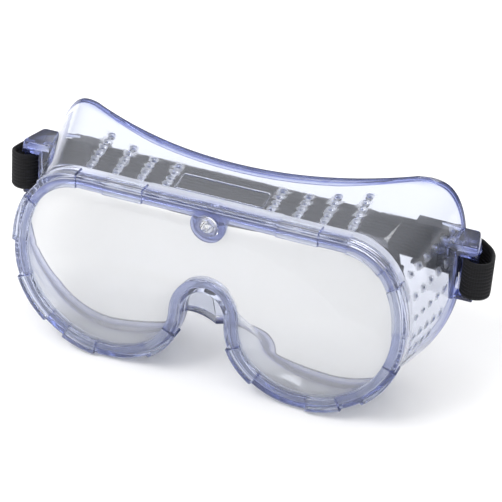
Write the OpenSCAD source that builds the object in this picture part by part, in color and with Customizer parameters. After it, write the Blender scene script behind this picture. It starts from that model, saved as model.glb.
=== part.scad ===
// Vented safety goggles: one soft clear moulding with a castellated lens groove, perforated walls and
// strap ears, a flat lens, a lens stud, and an elastic headband with two slides.
// The goggles are drawn in the lens frame (lens plane upright at y = 0, +Y towards the face, origin in
// the middle of the lens), and every node is then leaned back to the pose in which they rest on a table.

/* [Rim] */
// Half width of the rim at its widest
rim_half_w = 82; // [78:0.5:86]
// Height of the rim's top edge above the lens origin
rim_top = 25.4; // [23:0.2:28]
// Depth of the two lobes below the lens origin
rim_low = 53; // [50:0.5:56]
// Radial width of the rim's front face
rim_face = 5.4; // [4.5:0.1:6.5]
// How far the rim's front face stands in front of the lens plane
rim_front = 2.6; // [2.2:0.1:3.2]
// Thickness of the rim's outer wall
rim_wall = 2; // [1.6:0.1:2.4]
// How far the castellation blocks stand proud of the rim
block_proud = 0.8; // [0.4:0.1:1.2]

/* [Nose] */
// Half width of the nose notch
nose_half_w = 9; // [7:0.5:11]
// Height of the notch's top, below the lens origin
nose_top = 12.5; // [10:0.5:15]

/* [Skirt] */
// Wall thickness of the skirt
skirt_wall = 1.8; // [1.4:0.1:2.4]
// Half width of the skirt at the face
face_half_w = 90.5; // [88:0.5:91.5]
// Height of the forehead edge above the lens origin, at the middle
face_top = 29.4; // [28:0.2:32]
// Depth of the cheek edge below the lens origin
face_low = 50; // [49:0.25:51]
// Distance from the lens plane to the forehead edge at the middle
depth_mid = 30.5; // [27:0.5:32]
// Distance from the lens plane to the horns of the forehead edge
depth_horn = 55.5; // [52:0.5:58]
// Distance from the lens plane to the cheek edge
depth_low = 22; // [19:0.5:26]
// Width of the turned-in lip along the face edge
lip_w = 4.6; // [3:0.2:6]

/* [Vents] */
// Diameter of a vent hole in the top
vent_d = 1.8; // [1.2:0.1:2.4]
// Diameter of a vent hole in the sides
side_vent_d = 1.2; // [0.8:0.1:1.6]
// Spacing of the holes along a column
vent_pitch = 3.9; // [3:0.1:4.2]

/* [Ears] */
// Width of the strap bar's slot, wall to bar
slot_w = 3.8; // [3.2:0.1:4.4]
// Height of the slot, a little over the strap's width
slot_h = 17.2; // [16.6:0.1:19]
// Distance from the lens plane to the middle of the ear
ear_y = 38; // [36:0.5:40]
// Height of the ear's middle above the lens origin
ear_z = 0.8; // [0:0.1:2]

/* [Lens] */
// Thickness of the lens sheet
lens_t = 1.8; // [1.4:0.1:2]
// Diameter of the stud's domed head
stud_head_d = 9.5; // [8:0.5:11]

/* [Headband] */
// Width of the elastic strap
strap_w = 16; // [14:0.5:16]
// Thickness of the elastic strap
strap_t = 1.6; // [1.2:0.1:1.8]
// Distance from the lens plane to the middle of the strap's outer run
run_y = 55.2; // [54.5:0.1:57]
// Half length of the straight back run
run_half = 86; // [84:0.5:88]
// Distance of each tail's free end from the middle
tail_end = 40; // [34:1:46]
// Distance of each slide from the middle
slide_x = 76; // [70:1:77]

/* [Hidden] */

// Outline of a goggle front, given by where its curves begin and end:
// [top z, rise of the top by the corner, corner x, half width, side z, corner exponent,
//  lobe x, lobe bottom z, nose half width, nose side z, nose top z]
side_z = -12;
front = [rim_top, 0, 54, rim_half_w, side_z, 2.2, 41, -rim_low, nose_half_w, -24, -nose_top];
face = [face_top, 5.5, 68, face_half_w, -10, 2.5, 48, -face_low, 22, -43, -36];

// Points on each stretch of the half outline: top, corner, lobe, inner side of the lobe, nose arch
fine = [8, 9, 9, 8, 6];
coarse = [5, 7, 7, 6, 4];

function power(v, e) = v <= 0 ? 0 : pow(v, e);
// A point on the top edge, s from 0 at the middle to 1 at the corner, inset by d
function top_point(p, s, d) = [s * p[2], p[0] + p[1] * s * s - d];
// A point on the corner above the widest level, angle a from 90 at the top to 0 at the side
function corner_point(p, a, d) =
    [p[2] + (p[3] - p[2] - d) * power(cos(a), 2 / p[5]),
     p[4] + (p[0] + p[1] - p[4] - d) * power(sin(a), 2 / p[5])];
// A point on the lobe's outer side, angle a from 0 at the side to 90 at the bottom
function lobe_point(p, a, d) =
    [p[6] + (p[3] - p[6] - d) * cos(a), p[4] - (p[4] - p[7] - d) * sin(a)];
// A point on the lobe's inner side, angle a from 90 at the bottom to 0 at the nose
function inner_point(p, a, d) =
    [p[6] - (p[6] - p[8] - d) * cos(a), p[9] - (p[9] - p[7] - d) * sin(a)];
// A point on the nose arch, angle a from 0 at its side to 90 at its top
function nose_point(p, a, d) = [(p[8] + d) * cos(a), p[9] + (p[10] - p[9] + d) * sin(a)];

// Right half of an outline inset by d, from the middle of the top round to the middle of the nose
function half_outline(p, d, n = fine) = concat(
    [for (i = [0:n[0] - 1]) top_point(p, i / n[0], d)],
    [for (i = [0:n[1] - 1]) corner_point(p, 90 - 90 * i / n[1], d)],
    [for (i = [0:n[2] - 1]) lobe_point(p, 90 * i / n[2], d)],
    [for (i = [0:n[3] - 1]) inner_point(p, 90 - 90 * i / n[3], d)],
    [for (i = [0:n[4]]) nose_point(p, 90 * i / n[4], d)]);

// Whole outline: the right half, then the left half back to the start
function outline(p, d, n = fine) =
    let (h = half_outline(p, d, n))
    concat(h, [for (i = [len(h) - 2:-1:1]) [-h[i][0], h[i][1]]]);
n_ring = len(outline(face, 0, coarse));

// Height of the horns, above which the face edge runs along the forehead
horn_z = 31;
// How sharply the face edge turns back towards the horns and down to the cheeks
horn_curve = 2.1;
cheek_curve = 0.6;
// How far, and over what half width, the face edge comes forward at the nose
nose_relief = 10;
nose_relief_half_w = 30;
// Distance of the face edge from the lens plane at a point of the face outline
function face_depth(q) =
    let (
        x = abs(q[0]),
        forehead = depth_mid + (depth_horn - depth_mid) * pow(min(1, x / face_half_w), horn_curve),
        up = min(1, max(0, (q[1] + face_low) / (face_low + horn_z))),
        nose_dip = q[1] < 0 ? nose_relief * pow(max(0, 1 - x / nose_relief_half_w), 2) : 0)
    depth_low + (forehead - depth_low) * pow(up, cheek_curve) - nose_dip;

// Where the skirt's wall leaves the rim, and how far it is inset there
skirt_start = 4;
skirt_inset = 0.4;
// How the wall flares on its way back: 1 is straight
wall_flare = 1.12;
// A point on the wall: q in the rim outline, r in the face outline, v from 0 at the rim to 1 at the face
function wall_point(q, r, edge_y, v) =
    let (s = pow(v, wall_flare))
    [q[0] + (r[0] - q[0]) * s, skirt_start + (edge_y - skirt_start) * v, q[1] + (r[1] - q[1]) * s];

wall_steps = 3;
lip_t = 1.5;
edge_round = 0.7;
// Inset from which the lip stands out of the wall, and the least share of it that is left at the horns
lip_root = skirt_wall + edge_round;
lip_least = 0.15;
lip_fade = [40, 68];
lip_fade_up = [-15, 10];
function ramp(v, span) = min(1, max(0, (v - span[0]) / (span[1] - span[0])));
// Share of the lip's width at a point of the face outline: it narrows along the forehead to the horns
function lip_share(q) = 1 - (1 - lip_least) * ramp(abs(q[0]), lip_fade) * ramp(q[1], lip_fade_up);
// One ring of the skirt's skin. Each ring is [share of the way back, inset at the rim, inset at the face,
// distance in front of the face edge].
outer_rings = [for (k = [0:wall_steps - 1]) [k / wall_steps, skirt_inset, 0, 0]];
edge_rings = [[1, 0, 0, edge_round], [1, 0, edge_round, 0],
              [1, 0, lip_w - edge_round, 0], [1, 0, lip_w, lip_t / 2], [1, 0, lip_w - edge_round, lip_t],
              [1, 0, skirt_wall + edge_round, lip_t], [1, 0, skirt_wall, lip_t + edge_round]];
inner_rings = [for (k = [wall_steps - 1:-1:0]) [k / wall_steps, skirt_inset + skirt_wall, skirt_wall, 0]];
skin_rings = concat(outer_rings, edge_rings, inner_rings);

function skin_ring(g) =
    let (
        q = outline(front, g[1], coarse),
        root = outline(face, min(g[2], lip_root), coarse),
        tip = outline(face, g[2], coarse),
        e = outline(face, 0, coarse))
    [for (i = [0:n_ring - 1])
        let (r = root[i] + (tip[i] - root[i]) * lip_share(e[i]))
        wall_point(q[i], r, face_depth(e[i]) - g[3], g[0])];

// Triangles between rings k and k + 1 of a stack of rings with n points each
function band(k, m, n) = [for (i = [0:n - 1]) let (j = (i + 1) % n)
    each [[k * n + i, m * n + j, k * n + j], [k * n + i, m * n + i, m * n + j]]];

// Closed ring of skin: outer wall, edge bead, turned-in lip and inner wall
module skirt_skin() {
    rings = len(skin_rings);
    points = [for (g = skin_rings) each skin_ring(g)];
    faces = [for (k = [0:rings - 1]) each band(k, (k + 1) % rings, n_ring)];
    polyhedron(points = points, faces = faces, convexity = 8);
}

// The space inside the skirt, used to trim what is added outside it
module skirt_space() {
    rings = [for (k = [0:wall_steps]) [k / wall_steps, skirt_inset + skirt_wall, skirt_wall, 0]];
    walls = [for (g = rings) each skin_ring(g)];
    points = concat(walls, [[0, skirt_start, 0], [0, depth_horn, 0]]);
    last = wall_steps * n_ring;
    faces = concat(
        [for (k = [0:wall_steps - 1]) each band(k, k + 1, n_ring)],
        [for (i = [0:n_ring - 1]) [i, (i + 1) % n_ring, len(walls)]],
        [for (i = [0:n_ring - 1]) [last + (i + 1) % n_ring, last + i, len(walls) + 1]]);
    polyhedron(points = points, faces = faces, convexity = 8);
}

// A plate standing in the XZ plane from y = from to y = to
module upright(from, to) {
    translate([0, to, 0]) rotate([90, 0, 0]) linear_extrude(to - from) children();
}

// A ring between two insets of the rim outline
module rim_ring(outside, inside, from, to) {
    upright(from, to) difference() {
        polygon(outline(front, outside));
        polygon(outline(front, inside));
    }
}

// A plate over part of the rim, between two points of the right half outline and down to an inset
module rim_plate(first, last, inset, from, to) {
    outside = half_outline(front, -block_proud);
    inside = half_outline(front, inset);
    upright(from, to) polygon(concat(
        [for (i = [first:last]) outside[i]],
        [for (i = [last:-1:first]) inside[i]]));
}

// A block over part of the rim: a raised wall, and a raised front lip that stops short of the groove
module rim_block(first, last) {
    rim_plate(first, last, rim_wall, -rim_front - block_proud, block_back);
    rim_plate(first, last, rim_face, -rim_front - block_proud, -groove / 2 - overlap);
}

// Groove for the lens, and the blocks that break up the lips round it
groove = lens_t + 0.6;
rim_back = 6;
rear_lip_t = 1.6;
// How far back a block reaches, and how far the pieces of the rim run into each other
block_back = 3.4;
overlap = 0.2;
// Each block's first and last point of the half outline, from the top round the side to the nose
blocks = [[4, 6], [8, 12], [14, 17], [19, 22], [24, 25], [29, 32]];
tab_r = 7.2;
stud_z = 17.4;
stud_r = 2;

module rim() {
    rim_ring(0, rim_wall, -rim_front, rim_back);
    rim_ring(rim_wall - overlap, rim_face, -rim_front, -groove / 2);
    rim_ring(rim_wall - overlap, rim_face, groove / 2, groove / 2 + rear_lip_t);
    for (b = blocks) {
        rim_block(b[0], b[1]);
        mirror([1, 0, 0]) rim_block(b[0], b[1]);
    }
}

// Semicircular tabs in front of and behind the lens that the stud passes through
module stud_tab(from, to) {
    upright(from, to) intersection() {
        translate([0, stud_z]) circle(r = tab_r, $fn = 48);
        translate([-tab_r, stud_z - tab_r]) square([2 * tab_r, tab_r + rim_top - rim_wall / 2 - stud_z]);
    }
}

// Bore for the stud, with a clearance round its shank
module stud_bore(clearance) {
    translate([0, 0, stud_z]) rotate([90, 0, 0])
        cylinder(r = stud_r + clearance, h = 2 * rim_back, center = true, $fn = 32);
}

// Columns of vents over the top, each [x, number of holes]
top_columns = [[21.8, 4], [32.4, 4], [43, 5], [54.2, 6]];
first_vent_y = 7.8;
// Columns of vents down the side, each [angle on the outline, number of holes]: above the widest level
// the angle is on the corner, and below it on the lobe
side_columns = [[34, 6], [19, 5], [6, 5], [-5, 5], [-14, 4], [-24, 3]];
side_first = 0.14;
side_step = 0.13;
// Length of the pin that cuts a vent, and how far its middle is above the rim's top
vent_cut = 14;
vent_cut_rise = 2;

function side_front(a) = a > 0 ? corner_point(front, a, 0) : lobe_point(front, -a, 0);
function side_face(a) = a > 0 ? corner_point(face, a, 0) : lobe_point(face, -a, 0);

module vent_pin(d) {
    cylinder(d = d, h = vent_cut, center = true, $fn = 8);
}
module vents() {
    for (c = top_columns, side = [-1, 1], k = [0:c[1] - 1])
        translate([side * c[0], first_vent_y + vent_pitch * k, rim_top + vent_cut_rise]) vent_pin(vent_d);
    for (c = side_columns, side = [-1, 1], k = [0:c[1] - 1]) {
        q = side_front(c[0]);
        r = side_face(c[0]);
        p = wall_point(q, r, face_depth(r), side_first + side_step * k);
        translate([side * p[0], p[1], p[2]]) rotate([0, 90, 0]) vent_pin(side_vent_d);
    }
}

// Raised border of the blank label panel on top of the skirt
label_half_w = 18.5;
label_from = 6.4;
label_to = 16.6;
label_line = 0.7;
label_proud = 0.3;
label_corner = 1.5;
// Height of the skirt's outer wall above the middle plane, at depth y
function crown_z(y) =
    wall_point([0, rim_top - skirt_inset], [0, face_top], depth_mid,
               (y - skirt_start) / (depth_mid - skirt_start))[2];
module label_shape(inset) {
    offset(r = label_corner - inset)
        square([2 * (label_half_w - label_corner), label_to - label_from - 2 * label_corner], center = true);
}
module label_border() {
    slope = atan2(crown_z(label_to) - crown_z(label_from), label_to - label_from);
    middle = (label_from + label_to) / 2;
    translate([0, middle, crown_z(middle)]) rotate([slope, 0, 0])
        translate([0, 0, -skirt_wall / 2]) linear_extrude(skirt_wall / 2 + label_proud) difference() {
            label_shape(0);
            label_shape(label_line);
        }
}

// Strap ear: a pad on the side wall, an arm over the slot, a bar outside it and a foot below
ear_half = 3.6;
bar_x = 93.9;
bar_w = 3.6;
bar_depth = 4;
arm_h = 5.4;
// How far behind the ear's middle the top of the arm reaches, and how much narrower it is there
arm_back = 11;
arm_taper = 3;
arm_corner = 1.5;
foot_h = 2.2;
foot_half = 2.6;
pad_in = 78;
ear_low = -slot_h / 2 - foot_h;

// Solid arm that widens upwards, from the slot to its flat top
module ear_arm() {
    outer_x = bar_x + bar_w;
    hull() {
        translate([pad_in, -ear_half, 0]) cube([outer_x - pad_in, 2 * ear_half, arm_corner]);
        translate([0, 0, arm_h - arm_corner]) linear_extrude(arm_corner) offset(r = arm_corner, $fn = 24)
            offset(delta = -arm_corner) polygon([[pad_in, -ear_half], [outer_x, -ear_half],
                                                 [outer_x - arm_taper, arm_back], [pad_in, arm_back]]);
    }
}

module ear() translate([0, ear_y, ear_z]) {
    translate([pad_in, -ear_half, ear_low])
        cube([bar_x - slot_w - pad_in, 2 * ear_half, slot_h + foot_h + arm_corner]);
    translate([pad_in, -foot_half, ear_low]) cube([bar_x + bar_w - pad_in, 2 * foot_half, foot_h]);
    translate([0, 0, slot_h / 2]) ear_arm();
    translate([bar_x, -bar_depth / 2, ear_low]) cube([bar_w, bar_depth, slot_h + foot_h + arm_corner]);
}

// Leaned back until the rim's lower back edge and the cheek edge both touch the table
lean = atan2(rim_low - face_low, depth_low - rim_back);
// Middle of the goggles' depth as they stand, in front of the leaned lens origin
middle_y = 22.705;

module standing() {
    lift = rim_low * cos(lean) + rim_back * sin(lean);
    translate([0, -middle_y, lift]) rotate([-lean, 0, 0]) children();
}

module frame_moulding() color([0.80, 0.83, 0.96, 0.6]) standing() difference() {
    union() {
        rim();
        stud_tab(-rim_front, -groove / 2);
        stud_tab(groove / 2, groove / 2 + rear_lip_t);
        skirt_skin();
        label_border();
        difference() {
            union() {
                ear();
                mirror([1, 0, 0]) ear();
            }
            skirt_space();
        }
    }
    vents();
    stud_bore(0.05);
}

// Flat sheet cut to the rim outline, held in the groove and bored for the stud
lens_inset = rim_wall + 0.3;
module lens() color([0.9, 0.94, 0.96, 0.35]) standing() difference() {
    upright(-lens_t / 2, lens_t / 2) polygon(outline(front, lens_inset));
    stud_bore(0.1);
}

// Push-in stud: domed head in front, shank through the tabs and the lens, small flange behind
dome_h = 2.4;
head_edge_h = 0.8;
flange_t = 1;
flange_w = 1.2;
// Gap between the stud and the tabs at each end
stud_gap = 0.1;
module lens_stud() color([0.95, 0.97, 1, 0.5]) standing() translate([0, 0, stud_z]) rotate([90, 0, 0]) {
    back = -groove / 2 - rear_lip_t - stud_gap;
    head = rim_front + stud_gap;
    dome_r = (dome_h * dome_h + pow(stud_head_d / 2, 2)) / (2 * dome_h);
    translate([0, 0, back - flange_t]) cylinder(r = stud_r, h = head + flange_t - back, $fn = 32);
    translate([0, 0, back - flange_t]) cylinder(r = stud_r + flange_w, h = flange_t, $fn = 32);
    translate([0, 0, head]) cylinder(d = stud_head_d, h = head_edge_h, $fn = 48);
    intersection() {
        translate([0, 0, head + head_edge_h + dome_h - dome_r]) sphere(r = dome_r, $fn = 64);
        translate([0, 0, head + head_edge_h]) cylinder(d = stud_head_d, h = dome_h + 1, $fn = 48);
    }
}

// Straight back run of the elastic, with the two tails that lie folded against its inner side
layer_gap = 0.2;
module headband_run() color([0.06, 0.06, 0.07]) standing() {
    strap_low = ear_z - strap_w / 2;
    translate([-run_half, run_y - strap_t / 2, strap_low]) cube([2 * run_half, strap_t, strap_w]);
    for (side = [-1, 1])
        translate([side > 0 ? tail_end : -run_half, tail_y - strap_t / 2, strap_low])
            cube([run_half - tail_end, strap_t, strap_w]);
}

// Stretch of elastic that goes from the run round the ear's bar and back to the tail. Its middle line
// leaves the run, turns round the bar in a half circle and comes back beside the pad.
loop_gap = 0.35;
loop_in = bar_x - slot_w / 2;
loop_out = 102.7;
loop_r = (loop_out - loop_in) / 2;
loop_y = ear_y + 0.6;
tail_y = run_y - strap_t - layer_gap;
loop_line = concat(
    [[run_half + loop_gap, run_y], [run_half + 6, run_y - 0.6], [run_half + 11, run_y - 3.8],
     [loop_out - 1.6, loop_y + 7.4]],
    [for (a = [0:-18:-180]) [loop_in + loop_r + loop_r * cos(a), loop_y + loop_r * sin(a)]],
    [[loop_in + 0.1, loop_y + 5.4], [loop_in + 1.2, loop_y + 9.6], [loop_in - 0.6, tail_y - 1.6],
     [run_half + loop_gap, tail_y]]);
// Direction across the strip at point i of the line: straight along Y at its two ends
function across(i) =
    i == 0 ? [0, 1] : i == len(loop_line) - 1 ? [0, -1] :
    let (t = loop_line[i + 1] - loop_line[i - 1]) [-t[1], t[0]] / norm(t);
function loop_edge(d) = [for (i = [0:len(loop_line) - 1]) loop_line[i] + d * across(i)];
module strap_loop() {
    outer = loop_edge(strap_t / 2);
    inner = loop_edge(-strap_t / 2);
    translate([0, 0, ear_z - strap_w / 2]) linear_extrude(strap_w)
        polygon(concat(outer, [for (i = [len(inner) - 1:-1:0]) inner[i]]));
}
module strap_loop_right() color([0.06, 0.06, 0.07]) standing() strap_loop();
module strap_loop_left() color([0.06, 0.06, 0.07]) standing() mirror([1, 0, 0]) strap_loop();

// Three-bar slide: end bars behind the two layers of elastic, middle bar in front of them
slide_w = 18;
slide_bar = 3;
slide_t = 1.3;
slide_clear = 0.3;
rail_h = 1.4;
module strap_slide() translate([0, 0, ear_z]) {
    back = run_y + strap_t / 2 + slide_clear;
    fore = tail_y - strap_t / 2 - slide_clear - slide_t;
    top = strap_w / 2 + slide_clear;
    for (z = [-top - rail_h, top])
        translate([slide_x - slide_w / 2, fore, z]) cube([slide_w, back + slide_t - fore, rail_h]);
    for (x = [slide_x - slide_w / 2, slide_x + slide_w / 2 - slide_bar])
        translate([x, back, -top]) cube([slide_bar, slide_t, 2 * top]);
    translate([slide_x - slide_bar / 2, fore, -top]) cube([slide_bar, slide_t, 2 * top]);
}
module strap_slide_right() color([0.1, 0.1, 0.11]) standing() strap_slide();
module strap_slide_left() color([0.1, 0.1, 0.11]) standing() mirror([1, 0, 0]) strap_slide();

frame_moulding();
lens();
lens_stud();
headband_run();
strap_loop_left();
strap_loop_right();
strap_slide_left();
strap_slide_right();
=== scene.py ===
"""Safety goggles: the clear moulding, lens, stud, elastic headband and slides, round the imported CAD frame.

The pieces are built in the CAD's lens frame, in millimetres: the lens plane is y = 0, +Y goes towards the
face, and the origin is the middle of the lens. stand() leans them back onto the table and scales them to
metres, as part.scad's standing() does.
"""

import math

import bmesh
import bpy
import numpy as np
from mathutils import Matrix, Vector
from mathutils.kdtree import KDTree


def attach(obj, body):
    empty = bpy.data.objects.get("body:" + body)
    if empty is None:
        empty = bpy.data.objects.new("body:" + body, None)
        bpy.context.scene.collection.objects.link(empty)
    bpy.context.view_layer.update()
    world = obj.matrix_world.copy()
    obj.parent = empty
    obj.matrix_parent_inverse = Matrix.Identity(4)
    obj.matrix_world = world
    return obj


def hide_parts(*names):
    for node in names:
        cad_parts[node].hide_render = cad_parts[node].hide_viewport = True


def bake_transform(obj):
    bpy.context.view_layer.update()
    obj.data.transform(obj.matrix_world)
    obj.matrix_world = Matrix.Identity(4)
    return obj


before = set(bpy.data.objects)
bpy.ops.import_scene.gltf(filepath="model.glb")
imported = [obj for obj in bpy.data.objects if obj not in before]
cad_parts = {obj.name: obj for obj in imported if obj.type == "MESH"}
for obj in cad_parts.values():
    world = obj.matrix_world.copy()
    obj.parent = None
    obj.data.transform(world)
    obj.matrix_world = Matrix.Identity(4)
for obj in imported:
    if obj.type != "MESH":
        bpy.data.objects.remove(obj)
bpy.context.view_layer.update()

# ---------------------------------------------------------------- dimensions, in mm, as in part.scad
RIM_HALF_W = 82
RIM_TOP = 25.4
RIM_LOW = 53
RIM_FACE = 5.4
RIM_FRONT = 2.6
RIM_WALL = 2
RIM_BACK = 6
BLOCK_PROUD = 0.8
BLOCK_BACK = 3.4
SIDE_Z = -12
NOSE_HALF_W = 9
NOSE_TOP = 12.5
FACE_HALF_W = 90.5
FACE_TOP = 29.4
FACE_LOW = 50
DEPTH_MID = 30.5
DEPTH_HORN = 55.5
DEPTH_LOW = 22
HORN_Z = 31
HORN_CURVE = 2.1
CHEEK_CURVE = 0.6
NOSE_RELIEF = 10
NOSE_RELIEF_HALF_W = 30
WALL_FLARE = 1.12
SKIRT_START = 4
SKIRT_INSET = 0.4
SKIRT_WALL = 1.8
WALL_RINGS = 14
LIP_W = 4.6
LIP_ROOT = 2.5
LIP_LEAST = 0.15
LIP_FADE = (40, 68)
LIP_FADE_UP = (-15, 10)
LIP_T = 1.5
LENS_T = 1.8
GROOVE = LENS_T + 0.6
REAR_LIP_T = 1.6
TAB_R = 7.2
STUD_Z = 17.4
STUD_R = 2
STUD_HEAD_R = 4.75
VENT_R = 0.9
SIDE_VENT_R = 0.6
EAR_Y = 38
EAR_Z = 0.8
EAR_HALF = 3.6
SLOT_H = 17.2
BAR_X = 93.9
BAR_W = 3.6
BAR_HALF = 2
ARM_H = 5.4
ARM_BACK = 11
ARM_TAPER = 3
FOOT_H = 2.2
FOOT_HALF = 2.6
PAD_IN = 78
PAD_OUT = 90.1
STRAP_W = 16
STRAP_T = 1.6
RUN_Y = 55.2
RUN_HALF = 86
TAIL_Y = 53.4
TAIL_END = 40
LOOP_IN = 92
LOOP_OUT = 102.7
LOOP_Y = 38.6
SLIDE_X = 76
SLIDE_W = 18
SLIDE_BAR = 3
SLIDE_T = 1.3
SLIDE_CLEAR = 0.3
RAIL_H = 1.4
LABEL_HALF_W = 18.5
LABEL_FROM = 6.4
LABEL_TO = 16.6
LABEL_CORNER = 1.5
LABEL_LINE = 0.7

LEAN = math.atan2(RIM_LOW - FACE_LOW, DEPTH_LOW - RIM_BACK)
LIFT = RIM_LOW * math.cos(LEAN) + RIM_BACK * math.sin(LEAN)
MIDDLE_Y = 22.705
MM = 0.001
STANDING = (
    Matrix.Scale(MM, 4) @ Matrix.Translation((0, -MIDDLE_Y, LIFT)) @ Matrix.Rotation(-LEAN, 4, "X")
)


def stand(x, y, z):
    """A point of the lens frame, in mm, as a point of the row frame, in metres."""
    return STANDING @ Vector((x, y, z))


# ---------------------------------------------------------------- camera
LENS_MIDDLE = stand(0, 0, 0)
CAMERA_AZIMUTH = math.radians(23.1)
CAMERA_ELEVATION = math.radians(39.5)
CAMERA_DISTANCE = 0.75
CAMERA_LENS = 139.2
# Where the middle of the picture falls, right of and above the middle of the lens
AIM_RIGHT = 0.0169
AIM_UP = 0.00425


def make_camera():
    a, e = CAMERA_AZIMUTH, CAMERA_ELEVATION
    outward = Vector((math.sin(a) * math.cos(e), -math.cos(a) * math.cos(e), math.sin(e)))
    right = Vector((math.cos(a), math.sin(a), 0))
    up = outward.cross(right)
    camera = bpy.data.objects.new("camera", bpy.data.cameras.new("camera"))
    camera.data.lens = CAMERA_LENS
    camera.data.clip_start = 0.01
    camera.location = LENS_MIDDLE + outward * CAMERA_DISTANCE
    target = LENS_MIDDLE + right * AIM_RIGHT + up * AIM_UP
    camera.rotation_euler = (target - camera.location).to_track_quat("-Z", "Y").to_euler()
    bpy.context.scene.collection.objects.link(camera)
    bpy.context.scene.camera = camera


make_camera()

# ---------------------------------------------------------------- outlines of the moulding
# As in part.scad: top z, rise by the corner, corner x, half width, side z, corner exponent, lobe x,
# lobe bottom z, nose half width, nose side z, nose top z
FRONT = (RIM_TOP, 0, 54, RIM_HALF_W, SIDE_Z, 2.2, 41, -RIM_LOW, NOSE_HALF_W, -24, -NOSE_TOP)
FACE = (FACE_TOP, 5.5, 68, FACE_HALF_W, -10, 2.5, 48, -FACE_LOW, 22, -43, -36)
# A place on the right half outline is a number: 0 to 1 along the top, 1 to 2 round the corner, 2 to 3
# down the lobe's outer side, 3 to 4 up its inner side, and 4 to 5 over the nose arch.
STRETCH_STEPS = (26, 30, 34, 28, 18)
# Castellation blocks on the rim, each from one place to another
BLOCKS = ((0.51, 0.82), (1.03, 1.42), (1.6, 1.97), (2.22, 2.55), (2.7, 2.93), (3.4, 3.76))
BLOCK_RAMP = 0.004


def outline_point(shape, place, inset):
    """Point (x, z) of the right half outline at that place, moved inwards by inset."""
    top, rise, corner_x, half_w, side_z, power, lobe_x, low, nose_w, nose_z, nose_top = shape
    stretch = min(int(place), 4)
    t = place - stretch
    quarter = math.radians(90 * t)
    if stretch == 0:
        return t * corner_x, top + rise * t * t - inset
    if stretch == 1:
        along, up = max(math.sin(quarter), 0), max(math.cos(quarter), 0)
        return (
            corner_x + (half_w - corner_x - inset) * along ** (2 / power),
            side_z + (top + rise - side_z - inset) * up ** (2 / power),
        )
    if stretch == 2:
        return (
            lobe_x + (half_w - lobe_x - inset) * math.cos(quarter),
            side_z - (side_z - low - inset) * math.sin(quarter),
        )
    if stretch == 3:
        return (
            lobe_x - (lobe_x - nose_w - inset) * math.sin(quarter),
            nose_z - (nose_z - low - inset) * math.cos(quarter),
        )
    return (
        (nose_w + inset) * math.cos(quarter),
        nose_z + (nose_top - nose_z + inset) * math.sin(quarter),
    )


def ring_places():
    """Places on the right half outline, close together where a block begins and ends."""
    places = {k + i / n for k, n in enumerate(STRETCH_STEPS) for i in range(n)} | {5.0}
    edges = [e for block in BLOCKS for e in block]
    places = {p for p in places if min(abs(p - e) for e in edges) > 2 * BLOCK_RAMP}
    places |= {e + s * BLOCK_RAMP for e in edges for s in (-1, 0, 1)}
    return sorted(places)


PLACES = ring_places()


def block_height(place):
    """1 on a block, 0 between blocks, with a short ramp."""
    for start, end in BLOCKS:
        if start - 1.5 * BLOCK_RAMP < place < end + 1.5 * BLOCK_RAMP:
            rise = min(place - start, end - place) / BLOCK_RAMP
            return 0.0 if rise < -0.5 else 0.75 if rise < 0.5 else 1.0
    return 0.0


def mirrored(half):
    """A half ring's points, then those of its mirror image back to the start."""
    return np.array(half + [(-x, z) for x, z in half[-2:0:-1]])


def ring_outline(shape, inset):
    """Whole outline (x, z) at a plain inset, or at one for each place."""
    insets = inset if isinstance(inset, (list, tuple)) else [inset] * len(PLACES)
    return mirrored([outline_point(shape, p, d) for p, d in zip(PLACES, insets)])


def whole_ring(values):
    """One number for each place, and for each place of the mirror image."""
    return np.array(list(values) + list(values[-2:0:-1]))


HEIGHTS = [block_height(p) for p in PLACES]
RING_HEIGHT = whole_ring(HEIGHTS)


def face_depth(x, z):
    """Distance of the face edge behind the lens plane, at a point of the face outline."""
    forehead = DEPTH_MID + (DEPTH_HORN - DEPTH_MID) * min(1, abs(x) / FACE_HALF_W) ** HORN_CURVE
    up = min(1, max(0, (z + FACE_LOW) / (FACE_LOW + HORN_Z)))
    nose_dip = NOSE_RELIEF * max(0, 1 - abs(x) / NOSE_RELIEF_HALF_W) ** 2 if z < 0 else 0
    return DEPTH_LOW + (forehead - DEPTH_LOW) * up**CHEEK_CURVE - nose_dip


EDGE_DEPTH = np.array([face_depth(x, z) for x, z in ring_outline(FACE, 0)])


def wall_ring(y, rim_inset, face_inset, before_edge=0.0):
    """A ring of the skirt's wall at depths y, with the given insets at the rim and at the face."""
    edge = EDGE_DEPTH - before_edge
    v = np.clip((y - SKIRT_START) / (edge - SKIRT_START), 0, 1)
    share = (v**WALL_FLARE)[:, None]
    q, r = ring_outline(FRONT, rim_inset), ring_outline(FACE, face_inset)
    xz = q + (r - q) * share
    return np.column_stack([xz[:, 0], SKIRT_START + (edge - SKIRT_START) * v, xz[:, 1]])


def rim_ring(inset, y, block_inset=0.0, block_y=0.0):
    """A ring of the rim, with what a block adds to its inset and to its depth."""
    xz = ring_outline(FRONT, [inset + block_inset * h for h in HEIGHTS])
    return np.column_stack([xz[:, 0], y + block_y * RING_HEIGHT, xz[:, 1]])


def arc(centre, radius, start, end, steps):
    """Points of an arc in the section, angles in degrees: 0 is inwards and 90 is forwards."""
    angles = [math.radians(start + (end - start) * k / steps) for k in range(steps + 1)]
    return [(centre[0] + radius * math.cos(a), centre[1] - radius * math.sin(a)) for a in angles]


def wall_rings(first, last, rim_inset, face_inset):
    """Rings of the wall, evenly spaced between two depths."""
    return [
        wall_ring(first + (last - first) * k / WALL_RINGS, rim_inset, face_inset)
        for k in range(WALL_RINGS + 1)
    ]


def outer_wall():
    return wall_rings(RIM_BACK + 0.4, EDGE_DEPTH - 1, SKIRT_INSET, 0)


def inner_wall():
    return wall_rings(SKIRT_START, EDGE_DEPTH - LIP_T - 0.8, SKIRT_INSET + SKIRT_WALL, SKIRT_WALL)


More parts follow.
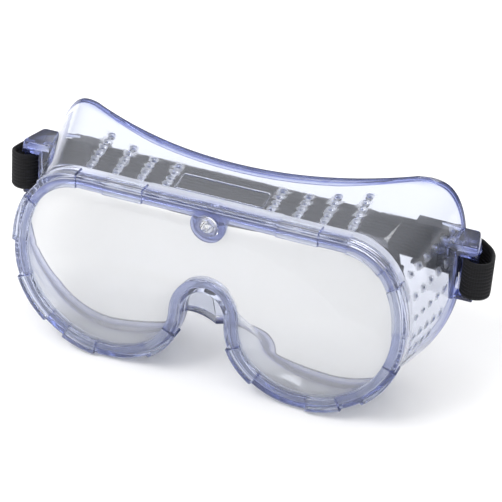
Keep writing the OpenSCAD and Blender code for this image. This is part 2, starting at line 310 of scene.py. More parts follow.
def ramp(value, span):
    """0 below the span, 1 above it, and evenly between them in it."""
    return min(1, max(0, (value - span[0]) / (span[1] - span[0])))


def lip_share(x, z):
    """Share of the lip's width at a point of the face outline: it narrows towards the horns."""
    return 1 - (1 - LIP_LEAST) * ramp(abs(x), LIP_FADE) * ramp(z, LIP_FADE_UP)


LIP_SHARES = [lip_share(*outline_point(FACE, p, 0)) for p in PLACES]


def lip_ring(inset, before_edge):
    """A ring of the lip, whose width beyond its root goes by lip_share."""
    insets = [min(inset, LIP_ROOT) + max(0, inset - LIP_ROOT) * share for share in LIP_SHARES]
    return wall_ring(EDGE_DEPTH, SKIRT_INSET, insets, before_edge)


def face_edge():
    """Rings of the rounded edge bead and of the lip turned in along the face edge."""
    # Inset, and distance in front of the edge
    section = [(0.25, 0.3), (0.8, 0.0), (1.6, 0.0), (2.4, 0.0), (3.7, 0.0), (4.3, 0.2), (LIP_W, 0.75)]
    section += [(4.3, 1.3), (3.7, LIP_T), (2.9, LIP_T), (2.2, LIP_T + 0.25)]
    return [lip_ring(inset, before) for inset, before in section]


def rim_section():
    """Rings from the inner wall round the rear lip, groove, front lip and blocks to the outer wall."""
    lip_back = GROOVE / 2 + REAR_LIP_T
    rings = [rim_ring(2.35, 3.3), rim_ring(2.7, lip_back)]
    rings += [rim_ring(d, lip_back) for d in (3.6, 4.6)]
    rings += [rim_ring(RIM_FACE - 0.2, lip_back - 0.2), rim_ring(RIM_FACE, lip_back - 0.6)]
    rings += [rim_ring(RIM_FACE, GROOVE / 2 + 0.15), rim_ring(RIM_FACE - 0.15, GROOVE / 2)]
    rings += [rim_ring(d, GROOVE / 2) for d in (3.6, 2.2)]
    rings += [rim_ring(RIM_WALL, y) for y in (0.9, 0, -0.9)]
    rings += [rim_ring(d, -GROOVE / 2) for d in (2.2, 3.6, RIM_FACE - 0.15)]
    rings += [rim_ring(RIM_FACE, -GROOVE / 2 - 0.15)]
    lip_round = 0.55
    rings += [
        rim_ring(d, y, 0, -BLOCK_PROUD)
        for d, y in arc((RIM_FACE - lip_round, -RIM_FRONT + lip_round), lip_round, 0, 90, 3)
    ]
    rings += [rim_ring(d, -RIM_FRONT, 0, -BLOCK_PROUD) for d in (3.8, 2.8)]
    edge_round = 0.9
    rings += [
        rim_ring(d, y, -BLOCK_PROUD, -BLOCK_PROUD)
        for d, y in arc((edge_round, -RIM_FRONT + edge_round), edge_round, 90, 180, 4)
    ]
    rings += [rim_ring(0, y, -BLOCK_PROUD) for y in (-0.6, 1.2, BLOCK_BACK - 0.5)]
    rings += [rim_ring(0, BLOCK_BACK - 0.2, -0.75 * BLOCK_PROUD), rim_ring(0, BLOCK_BACK)]
    rings += [rim_ring(0, 4.6), rim_ring(0, RIM_BACK - 0.4), rim_ring(0.15, RIM_BACK - 0.05)]
    return rings


# ---------------------------------------------------------------- mesh helpers
def new_object(name, mesh):
    obj = bpy.data.objects.new(name, mesh)
    bpy.context.scene.collection.objects.link(obj)
    return obj


def lofted(name, rings, closed_section=True, caps=None):
    """Skin over rings of points. With a closed section the last ring joins the first, and otherwise caps
    gives the two points that the end rings fan to."""
    count = len(rings[0])
    points = np.vstack(rings)
    faces = []
    for k in range(len(rings) if closed_section else len(rings) - 1):
        m = (k + 1) % len(rings)
        for i in range(count):
            j = (i + 1) % count
            faces.append((k * count + i, k * count + j, m * count + j, m * count + i))
    if caps is not None:
        last = (len(rings) - 1) * count
        points = np.vstack([points, caps])
        for i in range(count):
            j = (i + 1) % count
            faces.append((i, len(points) - 2, j))
            faces.append((last + i, last + j, len(points) - 1))
    mesh = bpy.data.meshes.new(name)
    mesh.from_pydata(points.tolist(), [], faces)
    clean(mesh)
    return new_object(name, mesh)


def clean(mesh, merge=0.0):
    """Faces outwards, and points closer than merge joined."""
    bm = bmesh.new()
    bm.from_mesh(mesh)
    if merge:
        bmesh.ops.remove_doubles(bm, verts=bm.verts, dist=merge)
    bmesh.ops.recalc_face_normals(bm, faces=bm.faces)
    bm.to_mesh(mesh)
    bm.free()


def shade(obj, angle=35):
    """Smooth shading, with edges sharper than angle left crisp."""
    limit = math.radians(angle)
    bm = bmesh.new()
    bm.from_mesh(obj.data)
    for face in bm.faces:
        face.smooth = True
    for edge in bm.edges:
        edge.smooth = len(edge.link_faces) == 2 and edge.calc_face_angle(0) < limit
    bm.to_mesh(obj.data)
    bm.free()


def combine(obj, operation, *others):
    """obj joined with, or cut by, each of the others, which are then removed."""
    for other in others:
        modifier = obj.modifiers.new("combine", "BOOLEAN")
        modifier.operation = operation
        modifier.solver = "MANIFOLD"
        modifier.object = other
        mesh = bpy.data.meshes.new_from_object(obj.evaluated_get(bpy.context.evaluated_depsgraph_get()))
        obj.modifiers.clear()
        obj.data = mesh
        bpy.data.objects.remove(other)
    return obj


def joined(name, objects):
    """One object made of several that don't touch."""
    bm = bmesh.new()
    for o in objects:
        o.data.transform(o.matrix_world)
        bm.from_mesh(o.data)
    mesh = bpy.data.meshes.new(name)
    bm.to_mesh(mesh)
    bm.free()
    for o in objects:
        bpy.data.objects.remove(o)
    return new_object(name, mesh)


def plate(name, outlines, y_from, y_to, bevel, resolution=2):
    """Upright plate between two depths with rounded edges: the first outline (x, z) is its edge, and any
    others are holes in it."""
    curve = bpy.data.curves.new(name, "CURVE")
    curve.dimensions = "2D"
    curve.fill_mode = "BOTH"
    curve.extrude = (y_to - y_from) / 2 - bevel
    curve.bevel_depth = bevel
    curve.bevel_resolution = resolution
    curve.offset = -bevel
    for outline in outlines:
        spline = curve.splines.new("POLY")
        spline.points.add(len(outline) - 1)
        for point, (x, z) in zip(spline.points, outline):
            point.co = (x, z, 0, 1)
        spline.use_cyclic_u = True
    holder = new_object(name, curve)
    mesh = bpy.data.meshes.new_from_object(holder.evaluated_get(bpy.context.evaluated_depsgraph_get()))
    bpy.data.objects.remove(holder)
    mesh.transform(Matrix.Translation((0, (y_from + y_to) / 2, 0)) @ Matrix.Rotation(math.pi / 2, 4, "X"))
    clean(mesh, 0.001)
    return new_object(name, mesh)


def rounded_outline(corners, steps=5):
    """An outline whose corners (x, z, radius) are rounded."""
    points = []
    count = len(corners)
    for i, (x, z, radius) in enumerate(corners):
        here = np.array([x, z], float)
        before = np.array(corners[i - 1][:2], float) - here
        after = np.array(corners[(i + 1) % count][:2], float) - here
        before, after = before / np.linalg.norm(before), after / np.linalg.norm(after)
        half = math.acos(np.clip(before @ after, -1, 1)) / 2
        if radius == 0:
            points.append(here)
            continue
        centre = here + (before + after) / np.linalg.norm(before + after) * radius / math.sin(half)
        start, end = here + before * radius / math.tan(half), here + after * radius / math.tan(half)
        a, b = start - centre, end - centre
        turn = math.atan2(a[0] * b[1] - a[1] * b[0], a @ b)
        for k in range(steps + 1):
            c, s = math.cos(turn * k / steps), math.sin(turn * k / steps)
            points.append(centre + np.array([a[0] * c - a[1] * s, a[0] * s + a[1] * c]))
    return [tuple(p) for p in points]


def circle(x, z, radius, steps):
    return [
        (x + radius * math.cos(2 * math.pi * k / steps), z + radius * math.sin(2 * math.pi * k / steps))
        for k in range(steps)
    ]


def box(name, low, high, bevel, segments=2):
    """A box with rounded edges."""
    low, high = Vector(low), Vector(high)
    bm = bmesh.new()
    bmesh.ops.create_cube(bm, size=1)
    for v in bm.verts:
        v.co = Vector([low[i] + (v.co[i] + 0.5) * (high[i] - low[i]) for i in range(3)])
    bmesh.ops.bevel(bm, geom=bm.edges[:], offset=bevel, segments=segments, profile=0.5, affect="EDGES")
    mesh = bpy.data.meshes.new(name)
    bm.to_mesh(mesh)
    bm.free()
    return new_object(name, mesh)


def turned(name, section, steps):
    """A turned solid about +Z from its section (radius, height), which starts and ends on the axis."""
    rings = [
        np.array([(r * math.cos(a), r * math.sin(a), h) for a in np.linspace(0, 2 * math.pi, steps, False)])
        for r, h in section[1:-1]
    ]
    ends = [(0, 0, section[0][1]), (0, 0, section[-1][1])]
    return lofted(name, rings, closed_section=False, caps=ends)


def mirror_x(obj, name):
    """A mirror image of obj on the other side."""
    mesh = obj.data.copy()
    mesh.transform(Matrix.Scale(-1, 4, (1, 0, 0)))
    clean(mesh)
    return new_object(name, mesh)


# ---------------------------------------------------------------- materials
# The vinyl's own colour in a thin wall, then its colour with painted shade half-way and at its deepest, for
# the dark lines of its edges and hollows
VINYL_THIN = (0.78, 0.81, 0.9)
VINYL_HALF_PAINTED_SHADE = (0.28, 0.33, 0.7)
VINYL_FULL_PAINTED_SHADE = (0.006, 0.012, 0.07)
FROST_ROUGHNESS = 0.5


def material(name, colour, roughness, **sockets):
    """A Principled material. sockets are given by name, with underscores for spaces."""
    mat = bpy.data.materials.new(name)
    mat.use_nodes = True
    shader = mat.node_tree.nodes["Principled BSDF"]
    shader.inputs["Base Color"].default_value = (*colour, 1)
    shader.inputs["Roughness"].default_value = roughness
    for socket, value in sockets.items():
        shader.inputs[socket.replace("_", " ")].default_value = value
    return mat


def add_node(mat, kind, **inputs):
    node = mat.node_tree.nodes.new(kind)
    for socket, value in inputs.items():
        node.inputs[socket.replace("_", " ")].default_value = value
    return node


def noise(mat, scale, detail):
    """Noise over the object's own coordinates, with the number of features per metre in scale."""
    coordinates = add_node(mat, "ShaderNodeTexCoord")
    texture = add_node(mat, "ShaderNodeTexNoise", Scale=scale, Detail=detail)
    mat.node_tree.links.new(coordinates.outputs["Object"], texture.inputs["Vector"])
    return texture.outputs["Fac"]


def vary_roughness(mat, source, low, high):
    shader = mat.node_tree.nodes["Principled BSDF"]
    spread = add_node(mat, "ShaderNodeMapRange", From_Min=0.3, From_Max=0.7, To_Min=low, To_Max=high)
    mat.node_tree.links.new(source, spread.inputs["Value"])
    mat.node_tree.links.new(spread.outputs["Result"], shader.inputs["Roughness"])


def bump(mat, source, distance, strength):
    """Adds a bump of that height, in metres, on top of any bump already there."""
    links = mat.node_tree.links
    shader = mat.node_tree.nodes["Principled BSDF"]
    node = add_node(mat, "ShaderNodeBump", Strength=strength, Distance=distance)
    links.new(source, node.inputs["Height"])
    if shader.inputs["Normal"].is_linked:
        links.new(shader.inputs["Normal"].links[0].from_socket, node.inputs["Normal"])
    links.new(node.outputs["Normal"], shader.inputs["Normal"])


def absorb(mat, colour, density):
    """Tints the inside, so that long paths through it come out deep in colour."""
    volume = add_node(mat, "ShaderNodeVolumeAbsorption", Color=(*colour, 1), Density=density)
    mat.node_tree.links.new(volume.outputs[0], mat.node_tree.nodes["Material Output"].inputs["Volume"])


def attribute(mat, name):
    """The value that mark_surface left at each point."""
    node = add_node(mat, "ShaderNodeAttribute")
    node.attribute_name = name
    return node.outputs["Fac"]


def vinyl_material():
    """Clear soft vinyl: deeper in colour where the moulding is thick or is seen edge-on, which is painted
    shade for the dark lines that light through clear vinyl shows there, and frosted in the vents."""
    mat = material("clear_vinyl", VINYL_THIN, 0.03, Transmission_Weight=0.95, IOR=1.5)
    links = mat.node_tree.links
    shader = mat.node_tree.nodes["Principled BSDF"]
    # The ramp runs from the vinyl's own colour to painted shade, by the depth that mark_surface left
    vinyl_and_painted_shade = add_node(mat, "ShaderNodeValToRGB")
    stops = vinyl_and_painted_shade.color_ramp.elements
    stops[0].color = (*VINYL_THIN, 1)
    stops[1].color = (*VINYL_FULL_PAINTED_SHADE, 1)
    stops.new(0.5).color = (*VINYL_HALF_PAINTED_SHADE, 1)
    links.new(attribute(mat, "depth"), vinyl_and_painted_shade.inputs["Fac"])
    links.new(vinyl_and_painted_shade.outputs["Color"], shader.inputs["Base Color"])
    vary_roughness(mat, noise(mat, 90, 3), 0.02, 0.08)
    frosted = add_node(mat, "ShaderNodeMath")
    frosted.operation = "MULTIPLY_ADD"
    frosted.inputs[1].default_value = FROST_ROUGHNESS
    links.new(attribute(mat, "frost"), frosted.inputs[0])
    links.new(shader.inputs["Roughness"].links[0].from_socket, frosted.inputs[2])
    links.new(frosted.outputs["Value"], shader.inputs["Roughness"])
    bump(mat, noise(mat, 140, 2), 0.00004, 0.5)
    bump(mat, noise(mat, 35, 1), 0.0002, 0.4)
    absorb(mat, (0.33, 0.42, 0.76), 28)
    return mat


def lens_material():
    mat = material("lens_sheet", (0.96, 0.965, 0.97), 0.02, Transmission_Weight=0.82, IOR=1.49)
    vary_roughness(mat, noise(mat, 60, 3), 0.008, 0.03)
    absorb(mat, (0.5, 0.52, 0.55), 50)
    return mat


def stud_material():
    mat = material("stud_plastic", (1, 1, 1), 0.01, Transmission_Weight=1.0, IOR=1.5)
    vary_roughness(mat, noise(mat, 300, 2), 0.005, 0.03)
    bump(mat, noise(mat, 400, 1), 0.00004, 0.5)
    absorb(mat, (0.8, 0.83, 0.9), 20)
    return mat


def elastic_material():
    """Black knitted elastic: fine crosswise stitches over the ribs, with a little lint and sheen."""
    mat = material("elastic", (0.006, 0.006, 0.007), 0.8, Specular_IOR_Level=0.3, Sheen_Weight=0.03)
    links = mat.node_tree.links
    shader = mat.node_tree.nodes["Principled BSDF"]
    uv = add_node(mat, "ShaderNodeTexCoord")
    stitches = add_node(mat, "ShaderNodeTexWave", Scale=1.0, Distortion=0.6, Detail=1.0)
    stitches.bands_direction = "X"
    links.new(uv.outputs["UV"], stitches.inputs["Vector"])
    bump(mat, stitches.outputs["Fac"], 0.00003, 0.5)
    bump(mat, noise(mat, 2500, 2), 0.00003, 0.5)
    shades = add_node(mat, "ShaderNodeMix")
    shades.data_type = "RGBA"
    shades.inputs["A"].default_value = (0.004, 0.004, 0.005, 1)
    shades.inputs["B"].default_value = (0.009, 0.009, 0.011, 1)
    links.new(stitches.outputs["Fac"], shades.inputs["Factor"])
    links.new(shades.outputs["Result"], shader.inputs["Base Color"])
    return mat


def slide_material():
    mat = material("slide_plastic", (0.015, 0.015, 0.017), 0.35)
    vary_roughness(mat, noise(mat, 500, 3), 0.28, 0.48)
    bump(mat, noise(mat, 3000, 2), 0.00004, 0.6)
    return mat


def finish_piece(obj, mat):
    """Stands a piece built in the lens frame on the table, and gives it its material."""
    obj.data.transform(STANDING)
    obj.data.materials.clear()
    obj.data.materials.append(mat)


# ---------------------------------------------------------------- the clear moulding
def moulding_body():
    """Rim and skirt in one skin: the section runs from the outer wall round the face edge and back."""
    return lofted("frame_vinyl", outer_wall() + face_edge() + inner_wall()[::-1] + rim_section())


def inner_space():
    """The room inside the skirt, which trims the roots of the ears."""
    caps = [(0, SKIRT_START, 0), (0, DEPTH_HORN, 0)]
    return lofted("space", inner_wall(), closed_section=False, caps=caps)


def solid_hull(name, points, bevel):
    """The convex solid round some points, with its sharp edges rounded."""
    bm = bmesh.new()
    for p in points:
        bm.verts.new(p)
    bmesh.ops.convex_hull(bm, input=bm.verts)
    bmesh.ops.dissolve_limit(bm, angle_limit=math.radians(2), verts=bm.verts, edges=bm.edges)
    sharp = [e for e in bm.edges if e.calc_face_angle(0) > math.radians(30)]
    bmesh.ops.bevel(bm, geom=sharp, offset=bevel, segments=3, profile=0.5, affect="EDGES")
    bmesh.ops.recalc_face_normals(bm, faces=bm.faces)
    mesh = bpy.data.meshes.new(name)
    bm.to_mesh(mesh)
    bm.free()
    return new_object(name, mesh)


def ear():
    """Right ear: pad, arm that widens upwards over the slot, foot below it, and the bar for the elastic."""
    out_x = BAR_X + BAR_W
    half_slot = SLOT_H / 2
    low = -half_slot - FOOT_H
    top_corners = [
        (PAD_IN, -EAR_HALF, 0),
        (out_x, -EAR_HALF, 1.8),
        (out_x - ARM_TAPER, ARM_BACK, 1.8),
        (PAD_IN, ARM_BACK, 0),
    ]
    top = rounded_outline(top_corners, 6)
    points = [(x, y, half_slot + h) for x, y in top for h in (ARM_H - 1.2, ARM_H)]
    points += [(x, y, half_slot) for x in (PAD_IN, out_x) for y in (-EAR_HALF, EAR_HALF)]
    arm = solid_hull("ear", points, 0.6)
    pad = box("pad", (PAD_IN, -EAR_HALF, low), (PAD_OUT, EAR_HALF, half_slot + 1.5), 0.7, 3)
    foot = box("foot", (PAD_IN, -FOOT_HALF, low), (out_x - 0.1, FOOT_HALF, low + FOOT_H), 0.6, 3)
    bar = box("bar", (BAR_X, -BAR_HALF, low + 0.1), (out_x - 0.15, BAR_HALF, half_slot + 1.5), 0.8, 3)
    combine(arm, "UNION", pad, foot, bar)
    arm.data.transform(Matrix.Translation((0, EAR_Y, EAR_Z)))
    return arm


def label_border():
    """Thin raised border, on top of the skirt, of a blank label panel."""
    rings = []
    # Inset, and height over the wall
    section = ((0, -0.6), (0, 0.12), (0.2, 0.28), (0.5, 0.28), (LABEL_LINE, 0.12), (LABEL_LINE, -0.6))
    for inset, height in section:
        x, low, high = LABEL_HALF_W - inset, LABEL_FROM + inset, LABEL_TO - inset
        r = LABEL_CORNER - inset
        path = rounded_outline([(-x, low, r), (x, low, r), (x, high, r), (-x, high, r)])
        rings.append(np.array([(px, py, wall_top(abs(px), py) + height) for px, py in path]))
    return lofted("label_border", rings)


def stud_tabs():
    """Rounded tabs in front of and behind the lens, bored for the stud."""
    top = RIM_TOP - RIM_WALL / 2 - STUD_Z
    rim = [(x, min(z, STUD_Z + top)) for x, z in circle(0, STUD_Z, TAB_R, 64)]
    hole = circle(0, STUD_Z, STUD_R + 0.05, 32)
    front = plate("tab_front", [rim, hole], -RIM_FRONT - 0.1, -GROOVE / 2 - 0.02, 0.3)
    back = plate("tab_back", [rim, hole], GROOVE / 2 + 0.02, GROOVE / 2 + REAR_LIP_T + 0.06, 0.3)
    return front, back


TOP_COLUMNS = ((21.8, 4), (32.4, 4), (43, 5), (54.2, 6))
FIRST_VENT_Y = 7.8
VENT_PITCH = 3.9
SIDE_COLUMNS = ((34, 6), (19, 5), (6, 5), (-5, 5), (-14, 4), (-24, 3))
SIDE_FIRST = 0.14
SIDE_STEP = 0.13


def wall_top(x, y):
    """Height of the skirt's outer wall over a point of the top."""
    place = x / FRONT[2]
    for _ in range(8):
        q, r = outline_point(FRONT, place, SKIRT_INSET), outline_point(FACE, place, 0)
        v = (y - SKIRT_START) / (face_depth(*r) - SKIRT_START)
        found = q[0] + (r[0] - q[0]) * v**WALL_FLARE
        place += (x - found) / FACE[2]
    return q[1] + (r[1] - q[1]) * v**WALL_FLARE


def side_wall(angle, v):
    """Point of the side wall on a column of vents: above the widest level the angle is on the corner."""
    place = 2 - angle / 90
    q, r = outline_point(FRONT, place, SKIRT_INSET), outline_point(FACE, place, 0)
    share = v**WALL_FLARE
    y = SKIRT_START + (face_depth(*r) - SKIRT_START) * v
    return q[0] + (r[0] - q[0]) * share, y, q[1] + (r[1] - q[1]) * share


def vent_pin(radius, flare):
    """Cutter for one vent, flared where it meets either face of the wall. Its outer face is at height 0."""
    wide = radius + flare
    section = [
        (0, -7), (wide + flare, -7), (wide, -SKIRT_WALL), (radius, -SKIRT_WALL + 0.5),
        (radius, -0.5), (wide, 0), (wide + flare, 3), (0, 3),
    ]
    return turned("vent", section, 16)


def vents():
    """All the vents' cutters, as one object, and the places where they meet the wall."""
    top_pin = vent_pin(VENT_R, 0.6)
    side_pin = vent_pin(SIDE_VENT_R, 0.1)
    pins, places = [], []

    def place_pin(pin, matrix):
        places.append(matrix.translation)
        mesh = pin.data.copy()
        mesh.transform(matrix)
        pins.append(new_object("pin", mesh))

    for side in (-1, 1):
        for x, count in TOP_COLUMNS:
            for k in range(count):
                y = FIRST_VENT_Y + VENT_PITCH * k
                place_pin(top_pin, Matrix.Translation((side * x, y, wall_top(x, y))))
        for angle, count in SIDE_COLUMNS:
            for k in range(count):
                x, y, z = side_wall(angle, SIDE_FIRST + SIDE_STEP * k)
                turn = Matrix.Rotation(side * math.radians(90), 4, "Y")
                place_pin(side_pin, Matrix.Translation((side * x, y, z)) @ turn)
    for pin in (top_pin, side_pin):
        bpy.data.objects.remove(pin)
    return joined("vents", pins), places


# How deep in colour each part of the moulding is painted, from 0 to 1, as painted shade or, on the ears, a
# plain darkening, and how far the parts reach, in mm
BLOCK_END_PAINTED_SHADE = 0.8
GAP_PAINTED_SHADE = 0.12
EAR_DARKENING = 0.6
TAB_PAINTED_SHADE = 0.25
RIM_REACH = 5.5
BEAD_REACH = 3
LIP_REACH = 1.2
GROOVE_REACH = 2.6
VENT_REACH = 2.2
# Heights between which the painted shade in the lens groove deepens towards the brow
BROW_SPAN = (8, 22)


def tree_of(points):
    tree = KDTree(len(points))
    for i, p in enumerate(points):
        tree.insert(p, i)
    tree.balance()
    return tree


def near(points, reach):
    """A function of a place: 1 on the nearest of the points, fading to 0 at that reach from it."""
    tree = tree_of(points)
    return lambda place: max(0.0, 1 - tree.find(place)[2] / reach)


def gap_painted_shade():
    """A function of a place on the rim: painted shade, as a deep line at a block's ends, none on it, a
    little in between.
    """
    tree = tree_of(rim_ring(RIM_FACE / 2, 0))

    def depth(place):
        _, i, distance = tree.find(place)
        if distance > RIM_REACH or place.y > BLOCK_BACK:
            return 0.0
        height = RING_HEIGHT[i]
        return BLOCK_END_PAINTED_SHADE if 0 < height < 1 else GAP_PAINTED_SHADE * (1 - height)

    return depth


def mark_surface(body, vent_places):
    """How deep the vinyl looks at each point, as painted shade for the dark lines of the clear moulding:
    most along the face edge's bead and lip and in the groove at the brow, less on the ears (a plain
    darkening), the tabs and the gaps between blocks. And where it is frosted: in the vents."""
    bead = near(wall_ring(EDGE_DEPTH, SKIRT_INSET, 0.4, 0.3), BEAD_REACH)
    lip = near(lip_ring(LIP_W, LIP_T / 2), LIP_REACH)
    groove = near(rim_ring(RIM_WALL, 0), GROOVE_REACH)
    tab = near([Vector((0, 0, STUD_Z))], 2 * TAB_R)
    gap = gap_painted_shade()
    vent = near(vent_places, VENT_REACH)
    # depth holds painted shade: how far the vinyl's colour is darkened at each point
    depth = body.data.attributes.new("depth", "FLOAT", "POINT")
    frost = body.data.attributes.new("frost", "FLOAT", "POINT")
    for v in body.data.vertices:
        # On the ears the colour is darkened all over
        on_ear = abs(v.co.x) > PAD_OUT - 1 and v.co.y > EAR_Y - EAR_HALF - 0.5
        edge = min(1, 2.2 * bead(v.co))
        on_tab = tab(v.co) > 0.45
        brow = 0.15 + ramp(v.co.z, BROW_SPAN)
        in_groove = min(1, brow * 1.6 * groove(v.co))
        parts = edge, lip(v.co), in_groove, gap(v.co), EAR_DARKENING * on_ear, TAB_PAINTED_SHADE * on_tab
        depth.data[v.index].value = max(parts)
        frost.data[v.index].value = min(1, 3 * vent(v.co))


def frame_vinyl():
    body = moulding_body()
    right = ear()
    left = mirror_x(right, "ear_left")
    ears = combine(joined("ears", [right, left]), "DIFFERENCE", inner_space())
    combine(body, "UNION", ears, label_border(), *stud_tabs())
    pins, vent_places = vents()
    combine(body, "DIFFERENCE", pins)
    shade(body)
    mark_surface(body, vent_places)
    finish_piece(body, vinyl_material())
    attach(body, "frame")
    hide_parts("frame_moulding")


# ---------------------------------------------------------------- lens and stud
def lens():
    outline = [tuple(p) for p in ring_outline(FRONT, RIM_WALL + 0.3)]
    hole = circle(0, STUD_Z, STUD_R + 0.1, 32)
    sheet = plate("lens_sheet", [outline, hole], -LENS_T / 2, LENS_T / 2, 0.15, 1)
    shade(sheet)
    finish_piece(sheet, lens_material())
    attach(sheet, "frame")
    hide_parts("lens")


def stud():
    """Push-in stud with a low dome, a hollow shank and a small flange behind."""
    front = RIM_FRONT + 0.15
    back = -GROOVE / 2 - REAR_LIP_T - 0.15
    dome_h = 3.1
    dome_r = (dome_h**2 + STUD_HEAD_R**2) / (2 * dome_h)
    section = [(0, -0.5), (1.0, -0.5), (1.15, -0.8), (1.15, back - 1)]
    section += [(STUD_R + 1.2, back - 1), (STUD_R + 1.2, back), (STUD_R, back), (STUD_R, front)]
    section += [(STUD_HEAD_R - 0.25, front), (STUD_HEAD_R, front + 0.25)]
    reach = math.asin(STUD_HEAD_R / dome_r)
    for k in range(1, 11):
        a = reach * (1 - k / 10)
        section.append((dome_r * math.sin(a), front + 0.25 + dome_r * math.cos(a) - dome_r + dome_h))
    piece = turned("stud", section, 48)
    piece.data.transform(Matrix.Translation((0, 0, STUD_Z)) @ Matrix.Rotation(math.pi / 2, 4, "X"))
    shade(piece)
    finish_piece(piece, stud_material())
    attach(piece, "frame")
    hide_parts("lens_stud")


# ---------------------------------------------------------------- elastic headband
LOOP_R = (LOOP_OUT - LOOP_IN) / 2
# Middle line (x, y) of the elastic from the straight run round the right ear's bar and back to the tail
LOOP_LINE = (
    [(RUN_HALF + 6, RUN_Y - 0.6), (RUN_HALF + 11, RUN_Y - 3.8), (LOOP_OUT - 1.6, LOOP_Y + 7.4)]
    + [
        (LOOP_IN + LOOP_R + LOOP_R * math.cos(a), LOOP_Y - LOOP_R * math.sin(a))
        for a in np.linspace(0, math.pi, 11)
    ]
    + [(LOOP_IN + 0.1, LOOP_Y + 5.4), (LOOP_IN + 1.2, LOOP_Y + 9.6), (LOOP_IN - 0.6, TAIL_Y - 1.6)]
)
# Ribs along the elastic: how many across its width, and how deep, in mm
RIBS = 10
RIB_DEPTH = 0.3


def smooth_line(points, spacing):
    """Points about spacing apart on a smooth curve through the given points."""
    p = np.array(points, float)
    p = np.vstack([2 * p[0] - p[1], p, 2 * p[-1] - p[-2]])
    out = []
    for i in range(1, len(p) - 2):
        steps = max(1, round(np.linalg.norm(p[i + 1] - p[i]) / spacing))
        for t in np.arange(steps) / steps:
            out.append(
                0.5
                * (
                    2 * p[i]
                    + (p[i + 1] - p[i - 1]) * t
                    + (2 * p[i - 1] - 5 * p[i] + 4 * p[i + 1] - p[i + 2]) * t**2
                    + (3 * p[i] - p[i - 1] - 3 * p[i + 1] + p[i + 2]) * t**3
                )
            )
    out.append(p[-2])
    return np.array(out)


def strap_line():
    """Whole middle line (x, y) of the elastic, from the left tail's end to the right tail's end."""
    right = [(20, RUN_Y), (45, RUN_Y), (RUN_HALF - 8, RUN_Y)] + LOOP_LINE
    right += [(RUN_HALF - 1, TAIL_Y), (RUN_HALF - 20, TAIL_Y), (TAIL_END, TAIL_Y)]
    left = [(-x, y) for x, y in right[::-1]]
    return smooth_line(left + [(0, RUN_Y)] + right, 0.8)


def strap_section():
    """Section of the elastic (across its thickness, along its width), with rounded ribs on both faces."""
    per_rib = 6
    half_w = STRAP_W / 2
    w = np.linspace(-half_w + 0.35, half_w - 0.35, RIBS * per_rib + 1)
    face = STRAP_T / 2 - RIB_DEPTH * (1 - np.abs(np.sin(np.pi * np.arange(len(w)) / per_rib)))
    outer = list(zip(face, w))
    inner = [(-t, z) for t, z in outer[::-1]]
    edge = half_w - 0.05
    return outer + [(0.35, edge), (-0.35, edge)] + inner + [(-0.35, -edge), (0.35, -edge)]


def strap():
    line = strap_line()
    ahead = np.gradient(line, axis=0)
    ahead /= np.linalg.norm(ahead, axis=1)[:, None]
    across = np.column_stack([-ahead[:, 1], ahead[:, 0]])
    section = strap_section()
    rings = [
        np.array([(p[0] + t * n[0], p[1] + t * n[1], EAR_Z + z) for t, z in section])
        for p, n in zip(line, across)
    ]
    caps = [(*line[0], EAR_Z), (*line[-1], EAR_Z)]
    piece = lofted("headband_elastic", rings, closed_section=False, caps=caps)
    lengths = np.concatenate([[0], np.cumsum(np.linalg.norm(np.diff(line, axis=0), axis=1))])
    count = len(section)
    layer = piece.data.uv_layers.new(name="UVMap")
    for loop in piece.data.loops:
        k, i = divmod(loop.vertex_index, count)
        if k < len(rings):
            layer.data[loop.index].uv = (lengths[k] * 0.35, section[i][1] * 0.05)
    shade(piece, 60)
    finish_piece(piece, elastic_material())
    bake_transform(piece)
    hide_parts("headband_run", "strap_loop_left", "strap_loop_right")


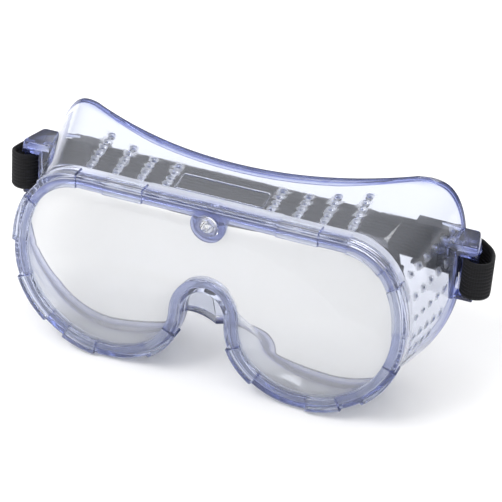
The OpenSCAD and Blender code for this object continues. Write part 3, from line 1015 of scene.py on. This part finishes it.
def slides():
    """Three-bar slides: end bars behind the two layers of elastic, middle bar in front of them."""
    back = RUN_Y + STRAP_T / 2 + SLIDE_CLEAR
    fore = TAIL_Y - STRAP_T / 2 - SLIDE_CLEAR - SLIDE_T
    top = STRAP_W / 2 + SLIDE_CLEAR
    low_x, high_x = SLIDE_X - SLIDE_W / 2, SLIDE_X + SLIDE_W / 2
    rails = [
        box("rail", (low_x, fore, z), (high_x, back + SLIDE_T, z + RAIL_H), 0.5)
        for z in (-top - RAIL_H, top)
    ]
    bars = [
        box("end_bar", (x, back, -top - 1), (x + SLIDE_BAR, back + SLIDE_T, top + 1), 0.4)
        for x in (low_x + 0.05, high_x - SLIDE_BAR - 0.05)
    ]
    x = SLIDE_X - SLIDE_BAR / 2
    high = (x + SLIDE_BAR, fore + SLIDE_T, top + 1)
    bars.append(box("middle_bar", (x, fore + 0.02, -top - 1), high, 0.4))
    right = combine(rails[0], "UNION", rails[1], *bars)
    right.data.transform(Matrix.Translation((0, 0, EAR_Z)))
    right.name = "slide_right"
    left = mirror_x(right, "slide_left")
    plastic = slide_material()
    for piece, side in ((right, "right"), (left, "left")):
        shade(piece)
        finish_piece(piece, plastic)
        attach(piece, "slide_" + side)
        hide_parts("strap_slide_" + side)


# ---------------------------------------------------------------- studio
def floor():
    mesh = bpy.data.meshes.new("floor")
    half = 3.0
    corners = [(-half, -half, 0), (half, -half, 0), (half, half, 0), (-half, half, 0)]
    mesh.from_pydata(corners, [], [(0, 1, 2, 3)])
    obj = new_object("floor", mesh)
    obj.data.materials.append(material("floor", (0.93, 0.93, 0.935), 0.8))


def softbox(name, place, target, size, power):
    light = bpy.data.lights.new(name, "AREA")
    light.shape = "RECTANGLE"
    light.size, light.size_y = size
    light.energy = power
    obj = new_object(name, light)
    obj.location = place
    obj.rotation_euler = (Vector(target) - Vector(place)).to_track_quat("-Z", "Y").to_euler()


def studio():
    world = bpy.data.worlds.new("studio")
    world.use_nodes = True
    background = world.node_tree.nodes["Background"]
    background.inputs["Color"].default_value = (1, 1, 1, 1)
    # Dim walls round the table and a bright ceiling, so that the clear edges pick up dark lines
    nodes, links = world.node_tree.nodes, world.node_tree.links
    direction = nodes.new("ShaderNodeTexCoord")
    parts = nodes.new("ShaderNodeSeparateXYZ")
    brightness = nodes.new("ShaderNodeMapRange")
    for socket, value in (("From Min", 0.1), ("From Max", 0.55), ("To Min", 0.42), ("To Max", 1.08)):
        brightness.inputs[socket].default_value = value
    links.new(direction.outputs["Generated"], parts.inputs["Vector"])
    links.new(parts.outputs["Z"], brightness.inputs["Value"])
    links.new(brightness.outputs["Result"], background.inputs["Strength"])
    scene = bpy.context.scene
    scene.world = world
    softbox("key_light", (-0.5, -0.4, 0.9), (0, 0, 0.04), (0.5, 0.5), 5)
    softbox("back_light", (0.3, 0.8, 0.7), (0, 0, 0.04), (0.8, 0.3), 3)
    scene.view_settings.view_transform = "Standard"
    scene.cycles.max_bounces = 24
    scene.cycles.transmission_bounces = 24
    scene.cycles.glossy_bounces = 12


floor()
frame_vinyl()
lens()
stud()
strap()
slides()
studio()
